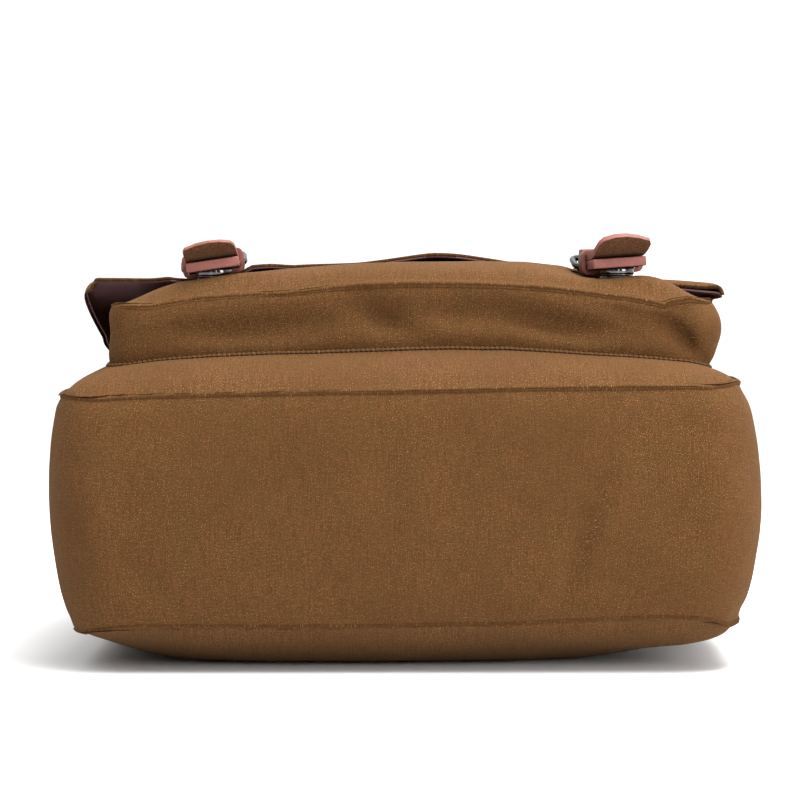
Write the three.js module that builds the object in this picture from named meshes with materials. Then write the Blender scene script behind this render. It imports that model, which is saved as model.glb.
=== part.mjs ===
// A stuffed canvas musette bag with a bellows pocket, a lined flap and two leather closure straps.
// It lies on its back panel. Millimetres: +X is to the right seen from the bag's bottom, +Y runs from
// the bottom panel to the mouth, +Z points up, out of the bag's front. The origin is on the floor,
// under the middle of the bag.
import * as THREE from "three";

// Main compartment
const bagHeight = 280;
const frontHalfWidth = 175.5;
const backHalfWidth = 174;
const frontCornerRadius = 24;
const backCornerRadius = 32;
const backSeamHeight = 22;
const gussetWidth = 125;
const frontShift = -4;
const mouthPinch = 8;
const seamTilt = 0.017;
const canvasThickness = 2.2;
const frontCrown = 21.5;
const frontRightFade = 0.25;
const frontMouthFall = 0.75;
const backCrown = 30;
const backRightFade = 0.2;
const backSeamTilt = 0.0119;
const backSeamSag = 3;
const sideBulge = 10.5;
const mouthSideBulge = 5;
const bottomBulge = 6;
const gussetMouthDrop = 20;
const bulgeRoundness = 0.6;
const slabStretch = 0.4;

// Bellows pocket on the front panel
const pocketBottom = 36;
const pocketLength = 170;
const pocketInset = 20.5;
const pocketCornerRadius = 13;
const pocketDepth = 38;
const pocketEndSag = 13;
const pocketCrestShift = 14;
const pocketCrown = 10.5;
const pocketMouthRise = -1;
const pocketRightLean = 5;
const pocketRightFoot = 4;
const pocketLeftFoot = 3;
const pocketRightBulge = 7;
const pocketLeftBulge = 1.5;
const pocketBottomBulge = 1.5;
const pocketRoundness = 0.8;
const pocketCrestAlong = 0.3;
const pocketCrestFall = 0.7;
const pocketBaseGap = 0.55;

// Flap and its lining
const flapOverhang = 20;
const flapShift = -3;
const hemSetback = 60;
const liningThickness = 0.9;
const flapThickness = 1.4;
const flapClearance = 0.45;
const flapBackGap = 1.0;
const flapBackInset = 4;
const flapSeamWidth = 14;
const flapSeamPast = 0.6;
const flapRestPast = 8;
const mouthToFlap = 13;
const marginWidth = 45;
const marginDrop = 34;
const marginSwell = 3;
const leftMarginTuck = 9;
const rightMarginTuck = 4;
const hemWaveLength = 68;

// Leather closures
const strapWidth = 28;
const leatherThickness = 2.5;
const strapSewnLength = 124;
const snapSetback = 25;
const snapRadius = 9.3;
const snapBaseHeight = 3.0;
const snapTopHeight = 3.1;
const tabReach = 13;
const tipReach = 18;
const tipLift = 6.5;
const tipArch = 1.8;
const strapPressWidth = 12.6;
const strapPressRamp = 11.2;
const strapPressBehind = 14;
const keeperLength = 9.5;
const keeperThickness = 2.3;
const keeperSetback = 15.2;
const keeperSlack = 0.4;
const keeperCorner = 1.2;
const buckleWire = 3.4;
const buckleSetback = 28.5;
const buckleLength = 19;
const buckleSideRoom = 1.0;
const buckleRise = 5;
const buckleCorner = 3;
const discEdge = 0.8;
const tabEnd = 0.5;

// Shoulder strap anchors
const ringInnerWidth = 38;
const ringInnerHeight = 13;
const ringWire = 3.6;
const ringCorner = 1;
const ringTabLength = 38;
const ringTabThickness = 2.0;
const ringTabInset = 4;

// Where a folded tab's two layers meet, in radii of its fold
const foldNeck = 1.75;

// How square the stuffed panels are: the power that their crowns fall off with, along and across
const frontSquareness = { bottom: 6, across: 8 };
const backSquareness = { bottom: 3.6, mouth: 5, across: 4 };
const pocketSquareness = { bottom: 3, left: 8, right: 3 };

// How strongly stations crowd towards the ends of a panel
const crowding = 0.45;

// Gaps between neighbours
const seamGap = 0.35;
const pieceGap = 0.3;

// Where each closure sits, as a share of the pocket's half width, how far its right side is lifted, how
// far it turns to the left behind the snap, how far its free tip twists on from there, and how many
// millimetres the tip leans to the right.
const closures = [
  { side: "left", across: -0.665, rollDegrees: 8.5, turnDegrees: 3, tipTwistDegrees: 2, tipLean: -1 },
  { side: "right", across: 0.717, rollDegrees: 4, turnDegrees: 5, tipTwistDegrees: 2, tipLean: 3.5 },
];

// The strap's free tip, as shares of tipReach past the snap, of tipLift and tipLean, of the strap's half
// width and of tipArch.
const tipShape = [
  { reach: 0.3, lift: 0.0, width: 1.0, arch: 0.0 },
  { reach: 0.55, lift: 0.12, width: 1.0, arch: 0.1 },
  { reach: 0.76, lift: 0.4, width: 1.0, arch: 0.3 },
  { reach: 0.92, lift: 0.75, width: 0.98, arch: 0.65 },
  { reach: 1.0, lift: 1.0, width: 0.88, arch: 1.0 },
];

// Creases pressed into the pocket's bottom strip. across is a share of the pocket's half width and up
// a share of the strip's height. A crease climbs by a share of that height over its reach. reach,
// spread and depth are shares of the half width, of the height and of the pocket's depth.
const pocketCreases = [
  { across: -0.48, up: 0.42, climb: 0.01, reach: 0.3, spread: 0.24, depth: 0.12 },
  { across: -0.1, up: 0.55, climb: -0.17, reach: 0.1, spread: 0.26, depth: 0.12 },
  { across: 0.22, up: 0.62, climb: -0.03, reach: 0.16, spread: 0.22, depth: 0.09 },
  { across: 0.5, up: 0.45, climb: -0.05, reach: 0.24, spread: 0.2, depth: 0.13 },
  { across: 0.88, up: 0.42, climb: -0.37, reach: 0.08, spread: 0.3, depth: 0.12 },
];

// Creases in the bottom panel, in shares of the bag's half width, of the gusset's width and of the bulge.
const bottomCreases = [
  { across: 0.5, up: 0.4, climb: 0.37, reach: 0.05, spread: 0.2, depth: 0.45 },
  { across: 0.02, up: 0.6, climb: 0.83, reach: 0.06, spread: 0.3, depth: 0.2 },
  { across: -0.78, up: 0.2, climb: -0.4, reach: 0.08, spread: 0.16, depth: 0.3 },
];

// Waves in the flap's hem: across and reach are shares of the flap's half width, lift of the pocket's crown.
const hemWaves = [
  { across: 0.13, reach: 0.17, lift: 0.33 },
  { across: -0.43, reach: 0.12, lift: 0.14 },
  { across: -0.76, reach: 0.16, lift: 0.12 },
];

// Height of the flap's side edge under its middle, as a share of marginDrop, by distance from the hem
// as a share of the pocket's length. The left corner stands out and the right one hangs a little.
const flapEdges = [
  { fromHem: 0.0, left: -0.02, right: 0.1 },
  { fromHem: 0.09, left: 0.2, right: 0.2 },
  { fromHem: 0.19, left: 0.5, right: 0.36 },
  { fromHem: 0.33, left: 0.84, right: 0.72 },
  { fromHem: 0.5, left: 1.0, right: 1.0 },
  { fromHem: 0.75, left: 0.9, right: 0.9 },
];

// The flap's way over the mouth: past is a share of mouthToFlap beyond the mouth, up a share of the
// height of the compartment's mouth.
const flapTurn = [
  { past: 0.45, up: 0.09 },
  { past: 0.92, up: 0.32 },
  { past: 1.0, up: 0.6 },
  { past: 0.8, up: 0.9 },
  { past: -0.1, up: 1.15 },
  { past: -2.1, up: 1.32 },
];

// Stations across and along the pocket's front, in shares of its half width and of its length. They
// crowd where the closures press it down.
const pocketAcross = [
  -1, -0.93, -0.84, -0.76, -0.68, -0.58, -0.44, -0.25, 0, 0.25, 0.44, 0.6, 0.7, 0.79, 0.87, 0.94, 1,
];
const pocketAlong = [0.13, 0.19, 0.26, 0.34, 0.45, 0.62, 0.8, 1];
const pocketUps = [0, 0.14, 0.3, 0.46, 0.62, 0.8, 1];
const gussetUps = [0, 0.05, 0.16, 0.33, 0.5, 0.67, 0.84, 0.95, 1];

// Stations along the flap, counted in points of its path from the back seam, and the points between
// which it leaves the back panel and settles on the pocket.
const flapStops = [0, 1, 1.6, 2.2, 3, 4, 5, 5.7, 6.4, 7.1, 8, 8.7, 9.4, 10.2, 11, 11.8, 12.4, 13];
const flapRests = [1, 0.8, 0.6, 0.4, 0.2, 0];
const leavesBack = { from: 1, to: 2 };
const settlesOnFront = { from: 5, to: 9 };
const flapMiddle = [-0.34, -0.16, 0, 0.16, 0.34];

const canvasBrown = { color: 0x80583a, roughness: 0.95, metalness: 0 };
const liningBrown = { color: 0x3a2824, roughness: 0.6, metalness: 0 };
const leatherRed = { color: 0x8a4a3c, roughness: 0.55, metalness: 0 };
const gunmetal = { color: 0x3c3c40, roughness: 0.3, metalness: 1 };
const nickel = { color: 0xb8b8bc, roughness: 0.2, metalness: 1 };

const pocketHalfWidth = frontHalfWidth - pocketInset;
const flapHalfWidth = pocketHalfWidth + flapOverhang;
const pocketTop = pocketBottom + pocketLength;
const hemY = pocketBottom + hemSetback;
const snapY = pocketBottom + snapSetback;
const frontSeamHeight = backSeamHeight + gussetWidth;
const gussetTop = bagHeight - gussetMouthDrop;
const foldRadius = buckleWire / 2 + pieceGap + leatherThickness;

const clamp = THREE.MathUtils.clamp;
const lerp = THREE.MathUtils.lerp;
const smooth = (t) => THREE.MathUtils.smoothstep(t, 0, 1);
const pillow = (share, power) => 1 - Math.pow(Math.min(1, Math.abs(share)), power);
const span = (from, to, count) => Array.from({ length: count + 1 }, (_, i) => lerp(from, to, i / count));
// Stations from -1 to 1 that crowd towards both ends, where a stuffed panel is steepest.
const crowded = (count) =>
  span(-1, 1, count).map((t) => Math.sin((t * Math.PI) / 2) * crowding + t * (1 - crowding));

// Reads a column of a table by smooth steps along another column.
function readTable(table, key, column, at) {
  if (at <= table[0][key]) return table[0][column];
  const after = table.findIndex((row) => row[key] >= at);
  if (after < 0) return table[table.length - 1][column];
  const [a, b] = [table[after - 1], table[after]];
  return lerp(a[column], b[column], smooth((at - a[key]) / (b[key] - a[key])));
}

// How deep the creases of a table press in at a place, as a share of what they are a share of.
function creaseDepth(creases, across, up) {
  return creases.reduce((sum, crease) => {
    const along = across - crease.across;
    const beside = up - crease.up - (crease.climb * along) / crease.reach;
    return sum + crease.depth * Math.exp(-((along / crease.reach) ** 2) - (beside / crease.spread) ** 2);
  }, 0);
}

// A U in plan: bottom strip, round corner, side. turn runs from -3 at the left side's top over 0 in the
// middle of the bottom to 3 at the right side's top.
function uPoint(turn, halfWidth, radius, bottom, top) {
  const hand = Math.sign(turn) || 1;
  const leg = Math.abs(turn);
  const straight = halfWidth - radius;
  if (leg <= 1) return { x: hand * leg * straight, y: bottom, outX: 0, outY: -1 };
  const angle = (Math.min(leg - 1, 1) * Math.PI) / 2;
  const outX = hand * Math.sin(angle);
  const outY = -Math.cos(angle);
  const onCorner = { x: hand * straight + radius * outX, y: bottom + radius * (1 + outY), outX, outY };
  if (leg <= 2) return onCorner;
  return { ...onCorner, y: lerp(bottom + radius, top, leg - 2) };
}

// Half width of a panel with round bottom corners, at a height y above its bottom edge.
function panelHalfWidth(y, halfWidth, radius) {
  const into = clamp(radius - y, 0, radius);
  return halfWidth - radius + Math.sqrt(radius * radius - into * into);
}

// Rows of a panel: the corner's own stations first, so that it meets the gusset's, then the rest.
const cornerRows = (radius, count) =>
  span(0, 1, count).map((t) => radius * (1 - Math.cos((t * Math.PI) / 2)));

// A closed slab between two matching grids of points.
function slab(outer, inner) {
  const rows = outer.length;
  const columns = outer[0].length;
  const points = [...outer.flat(), ...inner.flat()];
  const at = (layer, row, column) => layer * rows * columns + row * columns + column;
  const faces = [];
  const quad = (a, b, c, d) => faces.push(a, b, c, a, c, d);
  for (let r = 0; r + 1 < rows; r++)
    for (let c = 0; c + 1 < columns; c++) {
      quad(at(0, r, c), at(0, r, c + 1), at(0, r + 1, c + 1), at(0, r + 1, c));
      quad(at(1, r, c), at(1, r + 1, c), at(1, r + 1, c + 1), at(1, r, c + 1));
    }
  for (let c = 0; c + 1 < columns; c++) {
    quad(at(0, 0, c + 1), at(0, 0, c), at(1, 0, c), at(1, 0, c + 1));
    quad(at(0, rows - 1, c), at(0, rows - 1, c + 1), at(1, rows - 1, c + 1), at(1, rows - 1, c));
  }
  for (let r = 0; r + 1 < rows; r++) {
    quad(at(0, r, 0), at(0, r + 1, 0), at(1, r + 1, 0), at(1, r, 0));
    const end = columns - 1;
    quad(at(0, r + 1, end), at(0, r, end), at(1, r, end), at(1, r + 1, end));
  }
  const volume = faces.reduce((sum, _, i) => {
    if (i % 3) return sum;
    const [a, b, c] = [points[faces[i]], points[faces[i + 1]], points[faces[i + 2]]];
    return sum + a.dot(new THREE.Vector3().crossVectors(b, c));
  }, 0);
  if (volume < 0) faces.reverse();
  const geometry = new THREE.BufferGeometry();
  geometry.setAttribute("position", new THREE.Float32BufferAttribute(points.flatMap((p) => p.toArray()), 3));
  geometry.setIndex(faces);
  geometry.computeVertexNormals();
  return geometry;
}

const bag = new THREE.Group();

function addPiece(name, geometry, finish, parent = bag) {
  const mesh = new THREE.Mesh(geometry, new THREE.MeshStandardMaterial(finish));
  mesh.name = name;
  parent.add(mesh);
  return mesh;
}

// Heights of the compartment's outer skins.
const alongBag = (y) => (2 * y) / bagHeight - 1;
const frontSeamZ = (x, y) => frontSeamHeight + seamTilt * x - mouthPinch * (y / bagHeight) ** 3;
const backSeamZ = (x, y) =>
  backSeamHeight + backSeamTilt * x - backSeamSag * Math.sin((Math.PI * y) / bagHeight);

function frontZ(x, y) {
  const halfWidth = panelHalfWidth(y, frontHalfWidth, frontCornerRadius);
  const t = alongBag(y);
  const alongProfile = t < 0 ? pillow(t, frontSquareness.bottom) : 1 - frontMouthFall * t ** 4;
  const share = (x - frontShift) / halfWidth;
  const crown = frontCrown * (1 - frontRightFade * smooth(share));
  return frontSeamZ(x, y) + crown * pillow(share, frontSquareness.across) * alongProfile;
}

function backZ(x, y) {
  const halfWidth = panelHalfWidth(y, backHalfWidth, backCornerRadius);
  const t = alongBag(y);
  const alongProfile = pillow(t, t < 0 ? backSquareness.bottom : backSquareness.mouth);
  const share = x / halfWidth;
  const crown = backCrown * (1 - backRightFade * smooth(share));
  return Math.max(0, backSeamZ(x, y) - crown * pillow(share, backSquareness.across) * alongProfile);
}

// A panel's outer and inner grid. rise is +1 where the outside is on top.
function panelGrids(heightAt, halfWidth, radius, rows, columns, rise, shift = () => 0) {
  const point = (y, share, depth) => {
    const x = share * panelHalfWidth(y - rows[0], halfWidth, radius) + shift(share);
    return new THREE.Vector3(x, y, heightAt(x, y) - rise * depth);
  };
  const grid = (depth) => rows.map((y) => columns.map((share) => point(y, share, depth)));
  return { outer: grid(0), inner: grid(canvasThickness) };
}

// Height of a grid's facets at a place in plan, and undefined outside it.
function facetZ(grid, x, y) {
  const inTriangle = (a, b, c) => {
    const area = (b.x - a.x) * (c.y - a.y) - (c.x - a.x) * (b.y - a.y);
    const wb = ((x - a.x) * (c.y - a.y) - (c.x - a.x) * (y - a.y)) / area;
    const wc = ((b.x - a.x) * (y - a.y) - (x - a.x) * (b.y - a.y)) / area;
    const edge = 1e-6;
    if (wb < -edge || wc < -edge || wb + wc > 1 + edge) return undefined;
    return a.z + wb * (b.z - a.z) + wc * (c.z - a.z);
  };
  for (let r = 0; r + 1 < grid.length; r++)
    for (let c = 0; c + 1 < grid[r].length; c++) {
      const [a, b, d, e] = [grid[r][c], grid[r][c + 1], grid[r + 1][c + 1], grid[r + 1][c]];
      const z = inTriangle(a, b, d) ?? inTriangle(a, d, e);
      if (z !== undefined) return z;
    }
  return undefined;
}

const cornerSteps = 4;
const panelColumns = crowded(14);
const restOfPanel = (radius) =>
  span(0, 1, 9)
    .slice(1)
    .map((t) => lerp(radius, bagHeight, lerp(t, smooth(t), slabStretch)));

const frontRows = [...cornerRows(frontCornerRadius, cornerSteps), ...restOfPanel(frontCornerRadius)];
const frontGrids = panelGrids(
  frontZ, frontHalfWidth, frontCornerRadius, frontRows, panelColumns, 1, () => frontShift,
);
addPiece("front_panel", slab(frontGrids.outer, frontGrids.inner), canvasBrown);

const backRows = [...cornerRows(backCornerRadius, cornerSteps), ...restOfPanel(backCornerRadius)];
const backGrids = panelGrids(backZ, backHalfWidth, backCornerRadius, backRows, panelColumns, -1);
addPiece("back_panel", slab(backGrids.outer, backGrids.inner), canvasBrown);

// Gusset: one strip down the left side, along the bottom and up the right side. Between these two turns
// its bottom's bulge becomes that of its side.
const roundsFrom = 0.75;
const roundsTo = 1.6;
function gussetBulge(turn, up) {
  const leg = Math.abs(turn);
  const side = lerp(sideBulge, mouthSideBulge, smooth(leg - 2));
  const most = lerp(bottomBulge, side, smooth((leg - roundsFrom) / (roundsTo - roundsFrom)));
  return most * Math.pow(Math.sin(Math.PI * clamp(up, 0, 1)), bulgeRoundness);
}

function gussetPoint(turn, up, depth) {
  const halfWidth = lerp(backHalfWidth, frontHalfWidth, up);
  const radius = lerp(backCornerRadius, frontCornerRadius, up);
  const base = uPoint(turn, halfWidth, radius, 0, gussetTop);
  const onBack = uPoint(turn, backHalfWidth, backCornerRadius, 0, gussetTop);
  const onFront = uPoint(turn, frontHalfWidth, frontCornerRadius, 0, gussetTop);
  const low = backSeamZ(onBack.x, onBack.y) + canvasThickness + seamGap;
  const high = frontSeamZ(onFront.x, onFront.y) - canvasThickness - seamGap;
  const creased = bottomBulge * creaseDepth(bottomCreases, base.x / frontHalfWidth, up);
  const out = gussetBulge(turn, up) - (Math.abs(turn) < roundsTo ? creased : 0) - depth;
  const x = base.x + frontShift * up + base.outX * out;
  return new THREE.Vector3(x, base.y + base.outY * out, lerp(low, high, up));
}

// Turns of a U: side rows, corner steps and bottom steps, left to right.
function uTurns(sideSteps, corner, bottomSteps) {
  const right = [
    ...span(1, 2, corner).slice(1),
    ...span(2, 3, sideSteps).slice(1),
  ];
  return [...right.map((t) => -t).reverse(), ...span(-1, 1, bottomSteps), ...right];
}

const gussetTurns = uTurns(8, cornerSteps, 12);
const gussetGrid = (depth) =>
  gussetUps.map((up) => gussetTurns.map((turn) => gussetPoint(turn, up, depth)));
addPiece("gusset", slab(gussetGrid(0), gussetGrid(canvasThickness)), canvasBrown);

// Pocket. Its front panel leans out on the right, where the stuffing pushes it.
const pocketLean = (share) => (share > 0 ? pocketRightLean * smooth(share) : 0);
const pocketSeamZ = (x, y) => {
  const share = (x - pocketCrestShift) / pocketHalfWidth;
  const middle = frontZ(0, pocketBottom) + pocketDepth;
  return middle - pocketEndSag * share * share + pocketMouthRise * ((y - pocketBottom) / pocketLength);
};

function pocketFreeZ(x, y) {
  const halfWidth = panelHalfWidth(y - pocketBottom, pocketHalfWidth, pocketCornerRadius);
  const leaned = x > 0 ? x * (halfWidth / (halfWidth + pocketRightLean)) : x;
  const along = (y - pocketBottom) / pocketLength;
  const rise = pillow(1 - along / pocketCrestAlong, pocketSquareness.bottom);
  const fall = 1 - pocketCrestFall * (along - pocketCrestAlong);
  const alongProfile = along < pocketCrestAlong ? rise : fall;
  const squareness = x < 0 ? pocketSquareness.left : pocketSquareness.right;
  return pocketSeamZ(x, y) + pocketCrown * pillow(leaned / halfWidth, squareness) * alongProfile;
}

// Each closure's own frame: its seat on the pocket, and a point at (across, y, height) from the seat.
const frames = closures.map(({ side, across, rollDegrees, turnDegrees, tipTwistDegrees, tipLean }) => {
  const x = across * pocketHalfWidth;
  const roll = THREE.MathUtils.degToRad(rollDegrees);
  const twist = THREE.MathUtils.degToRad(tipTwistDegrees);
  const seat = new THREE.Vector3(x, snapY, pocketFreeZ(x, snapY));
  const planeZ = (atX) => seat.z + (atX - x) * Math.tan(roll);
  const turned = THREE.MathUtils.degToRad(turnDegrees);
  const settled = new THREE.Matrix4().makeRotationZ(turned);
  settled.multiply(new THREE.Matrix4().makeRotationY(-roll)).setPosition(seat);
  const strapX = x - Math.sin(turned) * (buckleSetback + buckleLength);
  const place = (a, y, h) => new THREE.Vector3(a, y - snapY, h).applyMatrix4(settled);
  // Turns a geometry that is drawn round the seat, with its height along Z, into its place.
  const settle = (geometry) => geometry.applyMatrix4(settled);
  return { side, x, strapX, twist, tipLean, planeZ, place, settle };
});

// A closure presses the cloth under its snap flat, to its own tilt, and the cloth behind it down.
const pocketZ = (x, y) =>
  frames.reduce((z, frame) => {
    const across = 1 - smooth((Math.abs(x - frame.x) - strapPressWidth) / strapWidth);
    const seat = 1 - smooth((Math.abs(y - snapY) - snapRadius - pieceGap) / strapPressRamp);
    const behind = 1 - smooth((y - snapY - buckleSetback - foldRadius) / strapPressBehind);
    const flat = lerp(z, frame.planeZ(x), across * seat);
    return y < snapY ? flat : Math.min(flat, lerp(flat, frame.planeZ(x), across * behind));
  }, pocketFreeZ(x, y));

const pocketRows = [
  ...cornerRows(pocketCornerRadius, 3).map((y) => y + pocketBottom),
  ...pocketAlong.map((t) => pocketBottom + t * pocketLength),
];
const pocketGrids = panelGrids(
  pocketZ, pocketHalfWidth, pocketCornerRadius, pocketRows, pocketAcross, 1, pocketLean,
);
addPiece("pocket_front", slab(pocketGrids.outer, pocketGrids.inner), canvasBrown);

function pocketGussetPoint(turn, up, depth) {
  const base = uPoint(turn, pocketHalfWidth, pocketCornerRadius, pocketBottom, pocketTop);
  const share = base.x / pocketHalfWidth;
  const lean = pocketLean(share);
  const foot = pocketRightFoot * smooth(share) - pocketLeftFoot * smooth(-share);
  const inner = { x: base.x + foot - base.outX * depth, y: base.y - base.outY * depth };
  const low = facetZ(frontGrids.outer, inner.x, inner.y) + pocketBaseGap;
  const top = { x: base.x + lean, y: base.y };
  const high = pocketSeamZ(top.x, top.y) - canvasThickness - seamGap;
  const onSide = smooth(Math.abs(turn) - 1);
  const sideOut = share > 0 ? pocketRightBulge : pocketLeftBulge;
  const rounded = Math.pow(Math.sin(Math.PI * up), pocketRoundness);
  const creased = pocketDepth * creaseDepth(pocketCreases, share, up) * (1 - onSide);
  const out = (lerp(pocketBottomBulge, sideOut, onSide) - creased) * rounded - depth;
  return new THREE.Vector3(
    base.x + lerp(foot, lean, smooth(up)) + base.outX * out,
    base.y + base.outY * out,
    lerp(low, high, up),
  );
}

const pocketTurns = uTurns(6, 3, 24);
const pocketGussetGrid = (depth) =>
  pocketUps.map((up) => pocketTurns.map((turn) => pocketGussetPoint(turn, up, depth)));
addPiece("pocket_gusset", slab(pocketGussetGrid(0), pocketGussetGrid(canvasThickness)), canvasBrown);

// Flap. Its base is the inner face of the lining, and each layer is an offset of it.
const frontRest = (x, y) => {
  const lying = Math.max(pocketFreeZ(x, y), frontZ(x, y)) + flapClearance;
  const waves = hemWaves.reduce((sum, wave) => {
    const off = (x / flapHalfWidth - wave.across) / wave.reach;
    return sum + pocketCrown * wave.lift * Math.exp(-off * off);
  }, 0);
  return lying + waves * (1 - smooth((y - hemY) / hemWaveLength));
};

const turnHeight = frontZ(0, bagHeight) - backZ(0, bagHeight);
const middlePath = [
  { y: bagHeight - flapSeamWidth, z: backZ(0, bagHeight - flapSeamWidth) - flapBackGap },
  { y: bagHeight + flapSeamPast, z: backZ(0, bagHeight) - flapBackGap },
  ...flapTurn.map(({ past, up }) => ({
    y: bagHeight + past * mouthToFlap,
    z: backZ(0, bagHeight) + up * turnHeight,
  })),
  ...flapRests.map((t) => {
    const y = lerp(hemY, pocketTop + flapRestPast, t);
    return { y, z: frontRest(flapShift, Math.min(y, pocketTop)) };
  }),
];
const middlePoints = middlePath.map(({ y, z }) => new THREE.Vector3(0, y, z));
const middleCurve = new THREE.CatmullRomCurve3(middlePoints, false, "centripetal");
const pathSpans = middlePoints.length - 1;
const alongFlap = flapStops.map((stop) => stop / pathSpans);
const passed = (along, { from, to }) => smooth((along * pathSpans - from) / (to - from));
// Stations across the flap: those of the hanging margins, of the straps' edges and of the middle.
const strapStations = frames.map(({ strapX }) =>
  [-0.5, -0.25, 0, 0.25, 0.5].map((share) => (strapX - flapShift + share * strapWidth) / flapHalfWidth),
);
const marginStart = 1 - marginWidth / flapHalfWidth;
const marginStations = span(marginStart, 1, 4);
const acrossFlap = [
  ...marginStations.map((t) => -t).reverse(),
  ...strapStations[0],
  ...flapMiddle,
  ...strapStations[1],
  ...marginStations,
];

// Base point of the flap. across runs from -1 to 1, along from 0 at the back seam to 1 at the hem.
function flapBase(across, along) {
  const middle = middleCurve.getPoint(along);
  const hand = Math.sign(across);
  const share = Math.abs(across);
  const flatEdge = flapHalfWidth - marginWidth;
  const onFront = passed(along, settlesOnFront);
  const onBack = 1 - passed(along, leavesBack);
  const straightX = across * (flapHalfWidth - flapBackInset * (1 - onFront));
  // Over the pocket the middle follows what it lies on, and the margins hang down beside it.
  const bodyX = Math.min(share * flapHalfWidth, flatEdge);
  const pocketY = Math.min(middle.y, pocketTop);
  const lying = frontRest(hand * bodyX + flapShift, pocketY) - frontRest(flapShift, pocketY);
  const fromHem = (middle.y - hemY) / pocketLength;
  const drop = marginDrop * readTable(flapEdges, "fromHem", hand < 0 ? "left" : "right", fromHem);
  const marginShare = clamp((share * flapHalfWidth - flatEdge) / marginWidth, 0, 1);
  const bend = 2 * marginShare * (1 - marginShare);
  const flat = (1 - marginShare) ** 2;
  const hung = marginShare ** 2;
  const tuck = (hand < 0 ? leftMarginTuck : rightMarginTuck) * (drop / marginDrop) ** 2;
  const marginX = flat * flatEdge + bend * (flapHalfWidth + marginSwell) + hung * (flapHalfWidth - tuck);
  const frontX = hand * (share * flapHalfWidth > flatEdge ? marginX : share * flapHalfWidth);
  const backY = Math.min(middle.y, bagHeight);
  const rise = backZ(straightX, backY) - backZ(0, backY);
  const x = lerp(straightX, frontX + flapShift, onFront);
  return new THREE.Vector3(x, middle.y, middle.z + onBack * rise + onFront * (lying - hung * drop));
}

// A point of the flap at a distance outwards from its base.
function flapSurface(across, along, outward) {
  const step = 1e-3;
  const p = flapBase(across, along);
  const rightOf = flapBase(Math.min(1, across + step), along);
  const leftOf = flapBase(Math.max(-1, across - step), along);
  const ahead = flapBase(across, Math.min(1, along + step));
  const behind = flapBase(across, Math.max(0, along - step));
  const sideways = rightOf.sub(leftOf);
  const forward = ahead.sub(behind);
  const normal = new THREE.Vector3().crossVectors(forward, sideways).normalize();
  return p.addScaledVector(normal, outward);
}

const flapGrid = (outward) =>
  alongFlap.map((along) => acrossFlap.map((across) => flapSurface(across, along, outward)));
const flapUnder = liningThickness + pieceGap;
const flapTop = flapUnder + flapThickness;
addPiece("flap_lining", slab(flapGrid(liningThickness), flapGrid(0)), liningBrown);
addPiece("flap", slab(flapGrid(flapTop), flapGrid(flapUnder)), canvasBrown);

// Closures. Heights above the seat, from the pocket up.
const snapBaseTop = pieceGap + snapBaseHeight;
const snapTopTop = snapBaseTop + pieceGap + snapTopHeight;
const tabUnder = snapTopTop + pieceGap;
const tabTop = tabUnder + 2 * leatherThickness;
const barHeight = (tabUnder + tabTop) / 2;
const strapUnder = tabTop + pieceGap;

// The turn that lays a geometry's own X, Y and Z along these three directions.
const axes = (...directions) =>
  new THREE.Matrix4().makeBasis(...directions.map((direction) => new THREE.Vector3(...direction)));

// A disc with a turned edge, from one height to another.
function disc(radius, from, to) {
  const edge = Math.min(discEdge, (to - from) / 3);
  const profile = [
    [0, from], [radius - edge, from], [radius, from + edge],
    [radius, to - edge], [radius - edge, to], [0, to],
  ].map(([r, h]) => new THREE.Vector2(r, h));
  return new THREE.LatheGeometry(profile, 24).rotateX(Math.PI / 2);
}

// A rounded rectangle round the middle of a plane.
function roundedRectangle(width, height, radius, steps = 3) {
  const centres = [[1, -1], [1, 1], [-1, 1], [-1, -1]];
  return centres.flatMap(([sx, sy], corner) =>
    span(0, 1, steps).map((t) => {
      const angle = ((corner - 1 + t) * Math.PI) / 2;
      return new THREE.Vector2(
        sx * (width / 2 - radius) + radius * Math.cos(angle),
        sy * (height / 2 - radius) + radius * Math.sin(angle),
      );
    }),
  );
}

// A band round an opening: the opening's outline, the band's thickness and its length.
function band(width, height, radius, thickness, length) {
  const round = roundedRectangle(width + 2 * thickness, height + 2 * thickness, radius + thickness);
  const shape = new THREE.Shape(round);
  shape.holes.push(new THREE.Path(roundedRectangle(width, height, radius)));
  const geometry = new THREE.ExtrudeGeometry(shape, { depth: length, bevelEnabled: false });
  return geometry.translate(0, 0, -length / 2);
}

// A leather strip folded back on itself round a bar. It is drawn in the plane of its length and height,
// with the bar at the origin, and reaches from there to -length.
function foldedTab(length, width, thickness, wire) {
  const inner = wire / 2 + pieceGap;
  const outer = inner + thickness;
  const neck = outer * foldNeck;
  const arc = span(-2.1, 2.1, 12).map((angle) => [outer * Math.cos(angle), outer * Math.sin(angle)]);
  const outline = [
    [-length, -thickness + tabEnd], [-length + tabEnd, -thickness], [-neck, -thickness],
    ...arc,
    [-neck, thickness], [-length + tabEnd, thickness], [-length, thickness - tabEnd],
  ].map(([u, v]) => new THREE.Vector2(u, v));
  const shape = new THREE.Shape(outline);
  const round = span(0, 2 * Math.PI, 12).slice(1);
  const eye = round.map((angle) => new THREE.Vector2(inner * Math.cos(angle), inner * Math.sin(angle)));
  shape.holes.push(new THREE.Path(eye));
  const geometry = new THREE.ExtrudeGeometry(shape, { depth: width, bevelEnabled: false });
  return geometry.translate(0, 0, -width / 2);
}

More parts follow.
